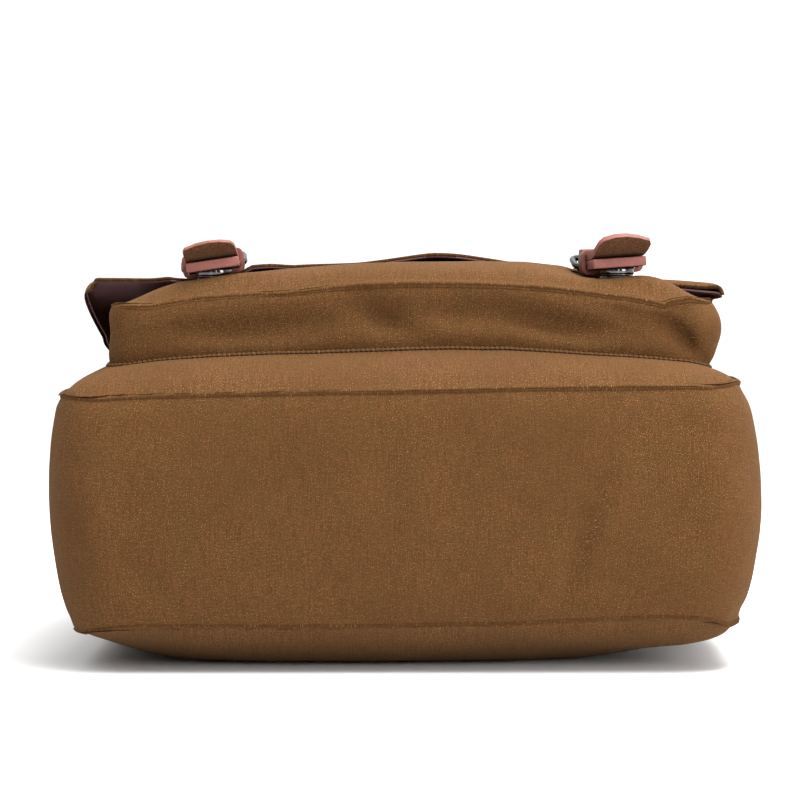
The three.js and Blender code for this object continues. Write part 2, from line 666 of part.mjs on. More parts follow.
// A wire bent to a closed outline in the XY plane.
function wireLoop(outline, wire, sides = 8) {
  const points = [];
  const faces = [];
  outline.forEach((point, i) => {
    const before = outline[(i + outline.length - 1) % outline.length];
    const after = outline[(i + 1) % outline.length];
    const tangent = after.clone().sub(before).normalize();
    for (let k = 0; k < sides; k++) {
      const angle = ((k + 0.5) / sides) * 2 * Math.PI;
      const out = (wire / 2) * Math.cos(angle);
      points.push(point.x + tangent.y * out, point.y - tangent.x * out, (wire / 2) * Math.sin(angle));
      const next = (k + 1) % sides;
      const here = i * sides;
      const ahead = ((i + 1) % outline.length) * sides;
      faces.push(here + k, ahead + k, here + next, here + next, ahead + k, ahead + next);
    }
  });
  const geometry = new THREE.BufferGeometry();
  geometry.setAttribute("position", new THREE.Float32BufferAttribute(points, 3));
  geometry.setIndex(faces);
  geometry.computeVertexNormals();
  return geometry;
}

for (const [index, frame] of frames.entries()) {
  const { side } = frame;
  addPiece(`snap_base_${side}`, frame.settle(disc(snapRadius, pieceGap, snapBaseTop)), nickel);
  addPiece(`snap_top_${side}`, frame.settle(disc(snapRadius, snapBaseTop + pieceGap, snapTopTop)), nickel);

  const tab = foldedTab(buckleSetback + tabReach, strapWidth, leatherThickness, buckleWire);
  tab.applyMatrix4(axes([0, 1, 0], [0, 0, 1], [1, 0, 0]));
  addPiece(`snap_tab_${side}`, frame.settle(tab.translate(0, buckleSetback, barHeight)), leatherRed);

  const keeperInside = strapUnder + leatherThickness - tabUnder + 2 * keeperSlack;
  const keeperWidth = strapWidth + 2 * keeperSlack;
  const keeper = band(keeperWidth, keeperInside, keeperCorner, keeperThickness, keeperLength);
  keeper.rotateX(Math.PI / 2).translate(0, keeperSetback, tabUnder - keeperSlack + keeperInside / 2);
  addPiece(`keeper_${side}`, frame.settle(keeper), leatherRed);

  const across = strapWidth + 2 * buckleSideRoom + buckleWire;
  const along = buckleLength - buckleWire;
  const buckle = wireLoop(roundedRectangle(across, along, buckleCorner), buckleWire);
  buckle.translate(0, along / 2, 0);
  buckle.rotateX(Math.asin(buckleRise / along)).translate(0, buckleSetback, barHeight);
  addPiece(`buckle_${side}`, frame.settle(buckle), gunmetal);

  // The strap follows the flap's own stations, climbs over the tab's fold and ends in its free tip.
  const stations = strapStations[index];
  const barY = snapY + buckleSetback;
  const onFlap = alongFlap.filter((t) => {
    const { y } = middleCurve.getPoint(t);
    return passed(t, settlesOnFront) > 0 && y < hemY + strapSewnLength && y > barY + along;
  });
  const overFold = strapUnder + foldRadius - leatherThickness;
  const unbent = { lift: 0, width: 1, arch: 0 };
  const free = [
    { y: barY + foldRadius, h: overFold, ...unbent },
    { y: barY - foldRadius, h: overFold, ...unbent },
    { y: barY - foldRadius * foldNeck, h: strapUnder, ...unbent },
    { y: snapY + keeperSetback / 2, h: strapUnder, ...unbent },
    ...tipShape.map((row) => {
      return { ...row, y: snapY - row.reach * tipReach, h: strapUnder + row.lift * tipLift };
    }),
  ];
  const strapGrid = (depth) => [
    ...onFlap.map((t) => stations.map((s) => flapSurface(s, t, flapTop + pieceGap + depth))),
    ...free.map((row, i) => {
      const before = free[Math.max(0, i - 1)];
      const after = free[Math.min(free.length - 1, i + 1)];
      const run = new THREE.Vector2(before.y - after.y, after.h - before.h).normalize();
      return [-1, -0.5, 0, 0.5, 1].map((hand) => {
        const a = (hand * row.width * strapWidth) / 2;
        const twisted = ((a + strapWidth / 2) * Math.tan(frame.twist * row.lift)) / 2;
        const arched = tipArch * row.arch * (1 - hand * hand);
        const h = row.h + run.x * depth + twisted + arched;
        return frame.place(a + frame.tipLean * row.lift, row.y + run.y * depth, h);
      });
    }),
  ];
  addPiece(`strap_${side}`, slab(strapGrid(leatherThickness), strapGrid(0)), leatherRed);
}

// Anchors for a shoulder strap, on the sides near the mouth.
const ringDiagonal = ringWire * Math.SQRT2;
const foldOut = ringDiagonal / 2 + pieceGap + ringTabThickness;
const ringY = gussetTop + foldOut * foldNeck;
const ringZ = backSeamHeight + gussetWidth / 2;
const ringReach = ringInnerHeight + ringWire;
const ringTabWidth = ringInnerWidth - ringTabInset;
const ringTabStart = gussetTurns.filter((turn) => turn < 3 - ringTabLength / gussetTop).at(-1);
const turnsUnder = gussetTurns.filter((turn) => turn >= ringTabStart);
const upsUnder = gussetUps.filter((up) => Math.abs(up - 0.5) < ringTabWidth / gussetWidth);
for (const [side, hand] of [["left", -1], ["right", 1]]) {
  const under = turnsUnder.flatMap((turn) => upsUnder.map((up) => gussetPoint(hand * turn, up, 0)));
  const lift = Math.max(...under.map(({ x }) => Math.abs(x))) + pieceGap + ringTabThickness;
  const tab = foldedTab(ringTabLength, ringTabWidth, ringTabThickness, ringDiagonal);
  tab.applyMatrix4(axes([0, 1, 0], [1, 0, 0], [0, 0, -1])).translate(hand * lift, ringY, ringZ);
  addPiece(`ring_tab_${side}`, tab, leatherRed);
  const ring = band(ringInnerWidth, ringInnerHeight, ringCorner, ringWire, ringWire);
  ring.applyMatrix4(axes([0, 0, 1], [0, 1, 0], [-1, 0, 0]));
  ring.translate(hand * lift, ringY + ringReach / 2, ringZ);
  addPiece(`strap_ring_${side}`, ring, gunmetal);
}

// The design above has the bottom panel at y = 0. The origin is under the middle of the whole bag.
const extent = new THREE.Box3().setFromObject(bag);
const middle = extent.getCenter(new THREE.Vector3());
bag.children.forEach((mesh) => mesh.geometry.translate(-middle.x, -middle.y, -extent.min.z));

export default bag;
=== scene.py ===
"""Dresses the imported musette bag: washed canvas, dark lining, leather closures and plated metal."""

import math

import bmesh
import bpy
import numpy as np
from mathutils import Matrix, Vector, kdtree, noise
from mathutils.bvhtree import BVHTree


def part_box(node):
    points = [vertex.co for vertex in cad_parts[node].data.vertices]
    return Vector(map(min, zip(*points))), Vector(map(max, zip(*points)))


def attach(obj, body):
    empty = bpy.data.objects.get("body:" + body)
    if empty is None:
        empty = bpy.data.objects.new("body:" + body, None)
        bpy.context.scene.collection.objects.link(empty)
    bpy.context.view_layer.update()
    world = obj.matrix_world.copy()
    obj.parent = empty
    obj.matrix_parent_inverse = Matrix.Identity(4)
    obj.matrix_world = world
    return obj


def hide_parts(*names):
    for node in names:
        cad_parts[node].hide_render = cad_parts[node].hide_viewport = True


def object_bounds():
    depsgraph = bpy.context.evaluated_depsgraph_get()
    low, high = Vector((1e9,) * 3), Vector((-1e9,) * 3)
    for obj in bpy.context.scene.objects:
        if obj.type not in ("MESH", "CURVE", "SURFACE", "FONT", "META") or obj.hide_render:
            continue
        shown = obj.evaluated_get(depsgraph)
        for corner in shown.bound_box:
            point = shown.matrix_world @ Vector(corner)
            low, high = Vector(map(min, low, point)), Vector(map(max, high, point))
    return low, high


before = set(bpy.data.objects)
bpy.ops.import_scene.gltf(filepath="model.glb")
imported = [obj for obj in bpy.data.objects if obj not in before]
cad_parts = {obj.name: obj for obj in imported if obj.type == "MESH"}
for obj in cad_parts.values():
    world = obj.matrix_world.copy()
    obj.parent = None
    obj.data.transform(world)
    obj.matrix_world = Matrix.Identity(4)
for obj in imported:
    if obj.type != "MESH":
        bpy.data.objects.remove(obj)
cad_low, cad_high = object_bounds()
MM = 0.001

# Thicknesses of the cloth, how finely its sheets are cut, and where a CAD solid's faces part.
CANVAS_THICKNESS = 2.2 * MM
HEM_THICKNESS = 2.0 * MM
LINING_THICKNESS = 0.9 * MM
CLOTH_LEVELS = 3
SHARP_EDGE = math.radians(62)
SIDES = ("left", "right")

# Places on the bag, read from the solids.
BAG_MIDDLE = (cad_low + cad_high) / 2
BOTTOM_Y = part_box("front_panel")[0].y
HEM_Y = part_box("flap")[0].y

# Rumples in the cloth: how far apart they lie, and how far in from a sheet's rim they fade out.
BROAD_RUMPLE = 34 * MM
SMALL_RUMPLE = 13 * MM
SMALL_SHARE = 0.3
RIM_CALM = 9 * MM

# Puckers beside a seam: how far apart they lie, and from where to where they run.
PUCKER_SIZE = 5.5 * MM
PUCKER_START = 1.5 * MM
PUCKER_REACH = 7 * MM

# A seam: the cloth rolls into it, rises beside it as a bead and drops in a narrow furrow at the thread.
ROLL_DEPTH = 0.55 * MM
ROLL_REACH = 4.5 * MM
BEAD_HEIGHT = 0.25 * MM
BEAD_PLACE = 2.6 * MM
BEAD_WIDTH = 1.4 * MM
FURROW_DEPTH = 1.5 * MM
FURROW_REACH = 0.8 * MM

# How far the painted shade in a seam reaches in from a rim, and how a rim is pared where it is hidden.
RIM_SHADE_REACH = 0.6 * MM
PARED_REACH = 2 * MM
PARED_SHARE = 0.2
PARED_FROM = HEM_Y + 7 * MM

# The right end of the flap's hem turns down: from where, over what run, and where its corner rounds off.
CURL_REACH = 9 * MM
CURL_START = 118 * MM
CURL_RUN = 30 * MM
CURL_CORNER = 179 * MM
CURL_CORNER_RUN = 12 * MM
CURL_BACK = 0.35
FLAP_CURL = 3.4 * MM
LINING_CURL = 1.5 * MM

# The flap's margins fall from this height. Their weave is laid along the fall, which fades out to the back.
FALL_TOP = 215 * MM
FALL_DEPTH = 45 * MM
FALL_BACK = 80 * MM
FALL_FADE = 40 * MM

# The turned edge along the pocket's foot, and the stitches beside it, dark so that they also paint the shade
# along that edge.
FOOT_TOUCH = 1.2 * MM
LIP_SIDES = 10
LIP_STEP = 0.65 * MM
LIP_WIDTH = 1.5 * MM
LIP_HEIGHT = 0.9 * MM
LIP_RIPPLE = 0.32
STITCH_PITCH = 2.6 * MM
STITCH_LENGTH = 2.3 * MM
STITCH_RADIUS = 0.42 * MM
STITCH_SLANT = 0.6

# Worn edges of the metal and of the leather, and how flat a face counts as one.
METAL_EDGE = 0.25 * MM
LEATHER_EDGE = 0.5 * MM
FLAT_FACE = math.radians(1)

# How far each closure hangs below its solids, and over what length behind the hem that fades.
CLOSURE_DROP = {"left": 3.2 * MM, "right": 1.8 * MM}
CLOSURE_FADE = 25 * MM

# Strap tips that lean: the slope of the upper edge, which rises towards the middle of the bag, and the x
# that it turns about.
LEANING_TIPS = {"strap_right": dict(slope=0.14, about=132 * MM)}

# The outline of a press stud: the share of its height, and its width as a share of the widest.
SNAP_SIDES = 64
SNAP_FOOT = 1.8 * MM
SNAP_PROFILE = (
    (0, 0.90), (0.05, 0.97), (0.10, 1.0), (0.46, 1.0), (0.50, 0.97), (0.54, 0.93), (0.58, 0.93),
    (0.62, 0.96), (0.66, 0.98), (0.90, 0.98), (0.96, 0.95), (1.0, 0.88),
)

# The floor, the soft lights with their sizes in metres, and the camera of the photograph.
FLOOR_SIZE = 60
LIGHTS = [
    dict(name="overhead", place=(0.35, -0.3, 1.7), aim=(0, 0, 0.1), size=(1.1, 0.9), watts=50),
    dict(name="right_front", place=(0.95, -0.92, 0.4), aim=(0, 0, 0.1), size=(0.5, 0.5), watts=8),
    dict(name="right_strip", place=(0.45, -2.2, 0.5), aim=(0, 0, 0.25), size=(0.26, 0.9), watts=3.5),
    dict(name="left_strip", place=(-0.75, -2.1, 0.5), aim=(0, 0, 0.25), size=(0.12, 0.9), watts=1.0),
]
CAMERA_DISTANCE = 1200 * MM
CAMERA_HEIGHT = 171.3 * MM
CAMERA_SHIFT = -2.5 * MM
CAMERA_TILT = math.radians(1.5)
CAMERA_LENS = 106.2
CAMERA_SENSOR = 36.0

# Where the cloth is drawn out of its even shape. Along each line of places the cloth shifts as listed,
# fading over a reach, all in mm. Every sheet of the group follows, so that its seams stay shut.
ALL_CLOTH = ("front", "back", "gusset", "pocket", "pocket_gusset", "flap", "lining")
FLAP_CLOTH = ("flap", "lining")
POCKET_CLOTH = ("pocket", "pocket_gusset")
PULLS = [
    # The seam between the front panel and the bottom, and on round both ends.
    dict(group=ALL_CLOTH, reach=10, line=[
        ((-189, -50, 147), (-0.6, 0, -2.0)),
        ((-187, -100, 147), (-0.6, 0, -4.4)),
        ((-182, -140, 146), (0, 0, -4.8)),
        ((-150, -150, 146), (0.5, 0, -4.4)),
        ((-100, -151, 145), (0, 0, -3.4)),
        ((0, -151, 147), (0, 0, -3.2)),
        ((100, -151, 148), (0, 0, -2.7)),
        ((150, -150, 150), (-1.0, 0, -3.2)),
        ((180, -140, 151), (-2.6, 0, -4.0)),
        ((186, -100, 151), (-2.6, 0, -3.6)),
        ((188, -50, 151), (-1.0, 0, -2.0)),
    ]),
    # The seam between the back panel and the bottom, and on round both ends.
    dict(group=ALL_CLOTH, reach=12, line=[
        ((-184, -60, 22), (0, 0, 0.5)),
        ((-182, -100, 22), (0, 0, 1.2)),
        ((-176, -143, 22), (0, 0.5, 2.0)),
        ((-124, -148, 22), (0, 0, 3.3)),
        ((-50, -150, 23), (0, 0, 2.2)),
        ((4, -150, 24), (0, 0, 2.0)),
        ((55, -150, 25), (0, 0, 2.4)),
        ((98, -149, 24), (0, 0, 4.3)),
        ((128, -147, 24), (0, 0, 5.6)),
        ((174, -143, 26), (-1.6, 1, 3.6)),
        ((182, -100, 26), (-1.6, 0, 3.6)),
        ((184, -60, 26), (-1.0, 0, 1.0)),
    ]),
    # The right end of the bag low down, drawn in.
    dict(group=ALL_CLOTH, reach=24, line=[
        ((180, -140, 46), (-1.4, 0, 0)),
        ((186, -90, 46), (-1.9, 0, 0)),
    ]),
    # The ends of both seams, drawn in.
    dict(group=ALL_CLOTH, reach=6, line=[
        ((-189, -50, 147), (1.2, 0, 0)),
        ((-182, -140, 147), (1.4, 0, 0)),
    ]),
    dict(group=ALL_CLOTH, reach=6, line=[
        ((189, -50, 151), (-2.2, 0, 0)),
        ((182, -140, 151), (-2.2, 0, 0)),
    ]),
    dict(group=ALL_CLOTH, reach=6, line=[
        ((-184, -60, 22), (0.4, 0, 1.0)),
        ((-177, -142, 22), (1.2, 0, 1.0)),
    ]),
    dict(group=ALL_CLOTH, reach=6, line=[
        ((184, -60, 26), (-0.4, 0, 1.5)),
        ((175, -142, 26), (-1.2, 0, 1.5)),
    ]),
    # The back panel below the right end of its seam.
    dict(group=ALL_CLOTH, reach=18, line=[
        ((112, -128, 9), (0, 0, -2.0)),
        ((145, -125, 12), (0, 0, -5.0)),
        ((166, -120, 17), (0, 0, -4.6)),
    ]),
    # The seam at the pocket's foot.
    dict(group=ALL_CLOTH, reach=8, line=[
        ((-156, -103, 157), (0, 0, -0.3)),
        ((-144, -104, 160), (0, 0, -2.5)),
        ((-121, -105, 162), (0, 0, -2.1)),
        ((-98, -106, 163), (0, 0, -1.0)),
        ((-3, -107, 165), (0, 0, 0.5)),
        ((52, -107, 165), (0, 0, 1.0)),
        ((84, -106, 164), (0, 0, -0.5)),
        ((112, -105, 163), (0, 0, -1.6)),
        ((136, -104, 162), (0, 0, -2.1)),
        ((158, -103, 158), (-0.5, 0, 0)),
    ]),
    # The two ends of the pocket's gusset.
    dict(group=POCKET_CLOTH, reach=9, line=[
        ((161, -101, 170), (-4.5, 0, 0)),
        ((162, -60, 168), (-4.5, 0, 0)),
    ]),
    dict(group=POCKET_CLOTH, reach=8, line=[
        ((-155, -102, 185), (-2.6, 0, 0)),
        ((-158, -60, 185), (-2.6, 0, 0)),
    ]),
    # The seam round the pocket's front, with the dip near its right end.
    dict(group=POCKET_CLOTH, reach=8, line=[
        ((-160, -100, 192), (1.5, 3, 1.5)),
        ((-152, -107, 189), (-1.0, 0, 1.5)),
        ((-134, -109, 191), (0, 0, -2.1)),
        ((-106, -110, 195), (0, 0, -1.6)),
        ((-77, -110, 199), (0, 0, -3.5)),
        ((-60, -110, 200), (0, 0, -4.4)),
        ((-44, -110, 201), (0, 0, -3.5)),
        ((-24, -110, 202), (0, 0, -2.5)),
        ((8, -110, 203), (0, 0, -2.4)),
        ((50, -110, 203), (0, 0, -2.8)),
        ((76, -110, 201), (0, 0, -3.1)),
        ((101, -110, 199), (0, 0, -4.1)),
        ((120, -110, 196), (0, 0, -4.5)),
        ((131, -110, 194), (0, 0, -5.6)),
        ((135, -110, 194), (0, 0, -6.4)),
        ((139, -110, 194), (0, 0, -4.0)),
        ((149, -109, 193), (0, 0, -0.4)),
        ((161, -107, 192), (-1.0, 3, -0.4)),
    ]),
    # The crown of the pocket's front.
    dict(group=POCKET_CLOTH, reach=32, line=[
        ((-146, -36, 194), (0, 0, 0.6)),
        ((-122, -36, 201), (0, 0, -1.3)),
        ((-114, -36, 204), (0, 0, -5.2)),
        ((-102, -36, 206), (0, 0, -5.0)),
        ((-90, -36, 208), (0, 0, -4.6)),
        ((-74, -36, 210), (0, 0, -3.0)),
        ((-54, -36, 212), (0, 0, -2.4)),
        ((-24, -36, 213), (0, 0, -1.6)),
        ((10, -36, 214), (0, 0, -0.9)),
        ((50, -36, 214), (0, 0, 0.8)),
        ((72, -36, 212), (0, 0, 3.4)),
        ((88, -36, 209), (0, 0, 4.2)),
        ((98, -36, 207), (0, 0, 2.6)),
        ((106, -36, 205), (0, 0, 0.3)),
        ((116, -36, 205), (0, 0, -1.9)),
        ((134, -36, 204), (0, 0, -1.2)),
        ((148, -36, 200), (0, 0, -1.2)),
        ((156, -36, 197), (0, 0, 0.9)),
    ]),
    # The hem of the flap.
    dict(group=FLAP_CLOTH, reach=25, line=[
        ((-177, -50, 198), (0, 0, 2.6)),
        ((-166, -50, 203), (0, 0, 2.0)),
        ((-140, -50, 202), (0, 0, 2.2)),
        ((-130, -50, 203), (0, 0, 2.6)),
        ((-116, -50, 206), (0, 0, -2.2)),
        ((-91, -50, 210), (0, 0, -2.9)),
        ((-84, -50, 211), (0, 0, 0.3)),
        ((-74, -50, 213), (0, 0, 0)),
        ((-62, -50, 214), (0, 0, -1.9)),
        ((-25, -50, 215), (0, 0, -2.2)),
        ((15, -50, 218), (0, 0, -0.5)),
        ((40, -50, 217), (0, 0, -1.8)),
        ((69, -50, 214), (0, 0, -2.4)),
        ((88, -50, 212), (0, 0, -2.6)),
        ((108, -50, 208), (0, 0, -1.8)),
        ((134, -50, 204), (0, 0, 1.0)),
        ((160, -50, 202), (0, 0, 0)),
    ]),
    # The flap's two margins and the rounded corner of its hem.
    dict(group=FLAP_CLOTH, reach=7, line=[
        ((-178, -52, 202), (4.5, 1, -1.5)),
        ((-177, -48, 202), (4.5, 1, -1.5)),
    ]),
    dict(group=FLAP_CLOTH, reach=10, line=[
        ((-172, -30, 178), (2.6, 0, 0)),
        ((-168, -5, 172), (2.6, 0, 0)),
    ]),
    dict(group=FLAP_CLOTH, reach=13, line=[
        ((174, -30, 186), (-6.0, 0, 1)),
        ((170, 0, 180), (-6.0, 0, 1)),
    ]),
    # The front panel beside the pocket's left end.
    dict(group=("front",), reach=12, line=[
        ((-176, -120, 158), (-3.0, 0, 1.0)),
        ((-180, -70, 160), (-3.0, 0, 1.0)),
    ]),
    # The lining below the right end of the hem.
    dict(group=("lining",), reach=18, line=[
        ((118, -48, 204), (0, 0.5, -1.6)),
        ((172, -48, 199), (0, 0.5, -3.0)),
    ]),
]

# Soft creases in the bottom panel, in the plane of x and z, and those in the pocket's bottom strip. Each
# runs from start to end, with its width and depth, all in mm. A negative depth is a ridge. A crease
# keeps a share of its depth at its ends, and only cloth that faces the bottom's side is creased.
CREASE_END = 0.35
CREASE_FACING = 1.6
BOTTOM_CREASES = [
    dict(start=(104, 108), end=(88, 70), width=5.5, depth=2.2),
    dict(start=(91, 78), end=(80, 34), width=5.5, depth=3.0),
    dict(start=(112, 104), end=(91, 40), width=7.0, depth=-1.8),
    dict(start=(-12, 138), end=(-8, 60), width=11.0, depth=1.6),
    dict(start=(30, 120), end=(22, 44), width=10.0, depth=1.3),
    dict(start=(-146, 62), end=(-118, 34), width=9.0, depth=1.8),
    dict(start=(-66, 124), end=(-44, 56), width=15.0, depth=1.2),
    dict(start=(146, 122), end=(138, 60), width=11.0, depth=1.2),
]
POCKET_CREASES = [
    dict(start=(-118, 175), end=(-66, 173), width=5.5, depth=2.4),
    dict(start=(-24, 187), end=(-2, 175), width=5.5, depth=2.6),
    dict(start=(13, 184), end=(36, 181), width=5.5, depth=2.0),
    dict(start=(56, 182), end=(98, 172), width=5.5, depth=3.2),
    dict(start=(76, 189), end=(112, 178), width=5.0, depth=-1.4),
    dict(start=(104, 188), end=(126, 182), width=5.0, depth=2.2),
    dict(start=(136, 182), end=(156, 161), width=4.6, depth=3.4),
    dict(start=(132, 190), end=(152, 174), width=4.5, depth=-1.8),
]


class Socket:
    """An output of a shader node that takes part in sums."""

    def __init__(self, shading, output):
        self.shading = shading
        self.output = output

    def _math(self, operation, first, second):
        return self.shading.node("Math", {"operation": operation}, {0: first, 1: second})

    def __add__(self, other):
        return self._math("ADD", self, other)

    def __radd__(self, other):
        return self._math("ADD", other, self)

    def __sub__(self, other):
        return self._math("SUBTRACT", self, other)

    def __rsub__(self, other):
        return self._math("SUBTRACT", other, self)

    def __mul__(self, other):
        return self._math("MULTIPLY", self, other)

    def __rmul__(self, other):
        return self._math("MULTIPLY", other, self)


class Shading:
    """A tree of shader nodes, and the sums and mixtures that go into it."""

    def __init__(self, tree):
        self.tree = tree

    def node(self, kind, settings=None, sockets=None, out=0):
        made = self.tree.nodes.new("ShaderNode" + kind)
        for key, value in (settings or {}).items():
            setattr(made, key, value)
        for key, value in (sockets or {}).items():
            self.feed(made.inputs[key], value)
        return Socket(self, made.outputs[out])

    def feed(self, socket, value):
        if isinstance(value, Socket):
            self.tree.links.new(value.output, socket)
        else:
            socket.default_value = value

    def between(self, value, low, high, to_low=0.0, to_high=1.0):
        """A value carried from the span low to high over to another span, and held at its ends."""
        sockets = {0: value, 1: low, 2: high, 3: to_low, 4: to_high}
        return self.node("MapRange", {"interpolation_type": "SMOOTHSTEP"}, sockets)

    def mix(self, factor, first, second):
        return self.node("Mix", {"data_type": "RGBA"}, {0: factor, 6: first, 7: second}, out=2)

    def scaled(self, vector, sizes):
        return self.node("VectorMath", {"operation": "MULTIPLY"}, {0: vector, 1: sizes})

    def cloudy(self, vector, scale, detail=2.0, rough=0.5):
        sockets = {"Vector": vector, "Scale": scale, "Detail": detail, "Roughness": rough}
        return self.node("TexNoise", {}, sockets)

    def painted(self, name):
        """A value stored on the mesh's points."""
        return self.node("Attribute", {"attribute_name": name}, {}, out=2)

    def bumped(self, height, strength, distance):
        return self.node("Bump", {}, {"Height": height, "Strength": strength, "Distance": distance})

    def part(self, vector, axis):
        return self.node("SeparateXYZ", {}, {0: vector}, out=axis)


class Surface(Shading):
    """A material under construction. Its finish is one Principled shader."""

    def __init__(self, name):
        self.material = bpy.data.materials.new(name)
        self.material.use_nodes = True
        super().__init__(self.material.node_tree)
        self.shader = self.tree.nodes["Principled BSDF"]

    def finish(self, **sockets):
        for key, value in sockets.items():
            self.feed(self.shader.inputs[key.replace("_", " ")], value)
        return self.material


def rgb(red, green, blue):
    return (red, green, blue, 1.0)


def canvas():
    """Washed brown canvas: a plain weave with thicker threads here and there and pale flecks."""
    made = Surface("canvas")
    # One unit of the map is a metre. Threads lie a pitch apart.
    uv = made.node("UVMap", {"uv_map": "weave"})
    pitch = 1.02 * MM
    turns = made.scaled(uv, (math.tau / pitch, math.tau / pitch, 1.0))
    across = made.part(turns, 0)
    along = made.part(turns, 1)
    warp = made.node("Math", {"operation": "SINE"}, {0: across})
    weft = made.node("Math", {"operation": "SINE"}, {0: along})
    weave = warp * weft * 0.5 + 0.5
    slubs = made.cloudy(made.scaled(uv, (1250.0, 75.0, 1.0)), 1.0, 3.0, 0.6)
    cross = made.cloudy(made.scaled(uv, (110.0, 1250.0, 1.0)), 1.0, 2.0, 0.5)
    flecks = made.cloudy(made.scaled(uv, (1750.0, 1500.0, 1.0)), 1.0, 1.0, 0.5)
    patches = made.cloudy(uv, 75.0, 3.0, 0.6)
    mottle = made.cloudy(uv, 420.0, 2.0, 0.6)
    wash = made.cloudy(uv, 14.0, 3.0, 0.55)
    # Each colour goes over the last: threads, patches, mottle, cross threads, pale and dark flecks, the gaps
    # of the weave, the wash, and last the painted shade at the rims, where the sheets meet in seams.
    brown = made.mix(made.between(slubs, 0.32, 0.68), rgb(0.073, 0.0298, 0.0086), rgb(0.126, 0.0552, 0.0184))
    brown = made.mix(made.between(patches, 0.38, 0.62, 0.0, 0.55), brown, rgb(0.086, 0.046, 0.0132))
    brown = made.mix(made.between(mottle, 0.35, 0.65, 0.34, 0.0), brown, rgb(0.066, 0.0265, 0.008))
    brown = made.mix(made.between(cross, 0.4, 0.72, 0.0, 0.3), brown, rgb(0.150, 0.066, 0.0228))
    brown = made.mix(made.between(flecks, 0.58, 0.74, 0.0, 0.8), brown, rgb(0.36, 0.185, 0.075))
    brown = made.mix(made.between(flecks, 0.28, 0.42, 0.65, 0.0), brown, rgb(0.045, 0.017, 0.005))
    brown = made.mix(made.between(weave, 0.0, 1.0, 0.30, 0.0), brown, rgb(0.060, 0.023, 0.007))
    brown = made.mix(made.between(wash, 0.32, 0.62, 0.34, 0.0), brown, rgb(0.070, 0.029, 0.009))
    # Painted shade: each sheet darkens along its rim, where it dips into a seam.
    brown = made.mix(made.painted("rim") * 0.5, brown, rgb(0.035, 0.013, 0.004))
    height = weave * 0.6 + slubs * 0.5 + cross * 0.3 + flecks * 0.3
    return made.finish(
        Base_Color=brown,
        Roughness=0.95,
        Normal=made.bumped(height, 0.6, 0.5 * MM),
        Specular_IOR_Level=0.08,
        Sheen_Weight=0.06,
        Sheen_Roughness=0.6,
        Sheen_Tint=rgb(0.9, 0.6, 0.35),
    )


def lining():
    """Dark smooth lining cloth."""
    made = Surface("lining")
    uv = made.node("UVMap", {"uv_map": "weave"})
    threads = made.cloudy(made.scaled(uv, (1500.0, 300.0, 1.0)), 1.0)
    soft = made.cloudy(uv, 22.0, 3.0)
    plum = made.mix(made.between(soft, 0.3, 0.7), rgb(0.066, 0.030, 0.031), rgb(0.118, 0.058, 0.058))
    return made.finish(
        Base_Color=plum,
        Roughness=0.65,
        Normal=made.bumped(threads, 0.25, 0.15 * MM),
        Specular_IOR_Level=0.15,
    )


def leather():
    """Dyed leather: grain on the dressed side, brown nap beneath and painted edges."""
    made = Surface("leather")
    place = made.node("TexCoord", {}, {}, out=3)
    pores = made.node("TexVoronoi", {}, {"Vector": place, "Scale": 900.0})
    clouds = made.cloudy(place, 120.0, 4.0, 0.6)
    nap = made.cloudy(made.scaled(place, (1500.0, 700.0, 700.0)), 1.0, 3.0, 0.6)
    cloudy = made.between(clouds, 0.3, 0.7)
    dressed = made.mix(cloudy, rgb(0.080, 0.028, 0.015), rgb(0.135, 0.049, 0.029))
    under = made.mix(made.between(nap, 0.3, 0.7), rgb(0.040, 0.014, 0.005), rgb(0.095, 0.038, 0.013))
    paint = made.mix(cloudy, rgb(0.165, 0.052, 0.041), rgb(0.245, 0.088, 0.071))
    side = made.painted("underside")
    edge = made.painted("edge")
    return made.finish(
        Base_Color=made.mix(edge, made.mix(side, dressed, under), paint),
        Roughness=0.5 + side * 0.4 + edge * 0.05,
        Normal=made.bumped(pores * (1 - side) * (1 - edge) + nap * side, 0.3, 0.25 * MM),
        Specular_IOR_Level=0.25,
    )


def metal(name, dark, light, rough):
    """Plated metal with fine wear."""
    made = Surface(name)
    wear = made.cloudy(made.node("TexCoord", {}, {}, out=3), 240.0, 4.0, 0.6)
    return made.finish(
        Base_Color=made.mix(made.between(wear, 0.4, 0.75), rgb(*dark), rgb(*light)),
        Metallic=1.0,
        Roughness=rough + wear * 0.1,
    )


def thread_and_painted_shade():
    """Waxed sewing thread, coloured dark so that the stitches also paint the shade between them along the
    pocket's foot.
    """
    made = Surface("thread_and_painted_shade")
    twist = made.cloudy(made.node("TexCoord", {}, {}, out=3), 2500.0, 1.0)
    # Painted shade: the thread is darker than the canvas, so that the row of stitches reads as the dark
    # dotted shade along the pocket's foot.
    return made.finish(
        Base_Color=made.mix(twist, rgb(0.022, 0.010, 0.004), rgb(0.060, 0.028, 0.011)),
        Roughness=0.7,
        Normal=made.bumped(twist, 0.3, 0.1 * MM),
    )


def regions(bm):
    """The faces of a mesh in groups that meet at soft edges only."""
    left = set(bm.faces)
    groups = []
    while left:
        group = {left.pop()}
        front = list(group)
        while front:
            for edge in front.pop().edges:
                for face in edge.link_faces:
                    if face in left and edge.calc_face_angle(math.pi) < SHARP_EDGE:
                        left.discard(face)
                        group.add(face)
                        front.append(face)
        groups.append(group)
    return groups


